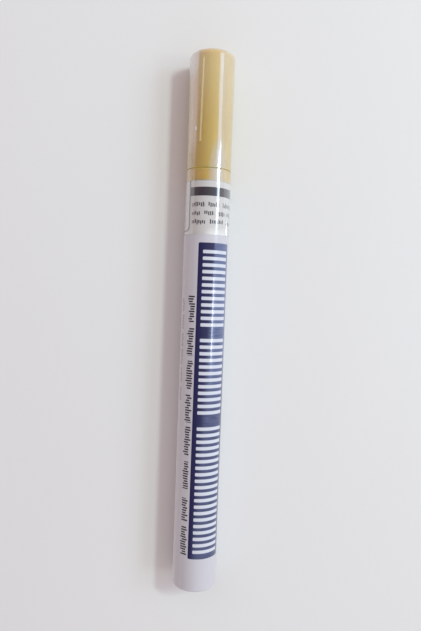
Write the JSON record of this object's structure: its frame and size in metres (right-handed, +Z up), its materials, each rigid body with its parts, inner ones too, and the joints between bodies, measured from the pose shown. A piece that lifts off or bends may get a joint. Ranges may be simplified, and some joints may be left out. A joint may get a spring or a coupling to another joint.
{
  "type": "paint marker",
  "caption": "Slim round paint marker with a push-on cap, a fibre nib on a sprung pump valve, a mixing ball in its reservoir and a clear shrink sleeve over the cap.",
  "frame": {"origin": "on the surface that the marker lies on, under the middle of its length", "axes": "+Y along the marker from tail to cap, +Z up, +X to the right when seen from above with the cap at the top"},
  "size_m": [0.0118, 0.14, 0.0118],
  "materials": {
    "barrel_lacquer": "satin",
    "tan_plastic": "gloss",
    "printed_film": "gloss",
    "clear_film": "gloss",
    "seal_plastic": "satin",
    "valve_plastic": "satin",
    "washer_rubber": "matte",
    "spring_steel": "satin",
    "ball_steel": "polished",
    "nib_fibre": "matte"
  },
  "bodies": {
    "barrel_unit": {"barrel": "barrel_lacquer", "front_section": "tan_plastic", "seat_washer": "washer_rubber", "valve_cage": "valve_plastic", "valve_spring": "spring_steel", "seal_band": "printed_film"},
    "cap_unit": {"cap_shell": "tan_plastic", "inner_cap": "seal_plastic", "cap_film": "clear_film"},
    "nib_unit": {"nib": "nib_fibre", "valve_plunger": "valve_plastic"},
    "loose_ball": {"mixing_ball": "ball_steel"}
  },
  "joints": [
    {"name": "cap_pull", "type": "slide", "parent": "barrel_unit", "child": "cap_unit", "axis": [0, 1, 0], "range_m": [0, 0.035]},
    {"name": "nib_press", "type": "slide", "parent": "barrel_unit", "child": "nib_unit", "axis": [0, -1, 0], "range_m": [0, 0.002], "stiffness_N_per_m": 500, "springref_m": -0.002, "deforming": ["valve_spring"]},
    {"name": "ball_rattle", "type": "slide", "parent": "barrel_unit", "child": "loose_ball", "axis": [0, 1, 0], "range_m": [-0.0106, 0.0732]}
  ]
}
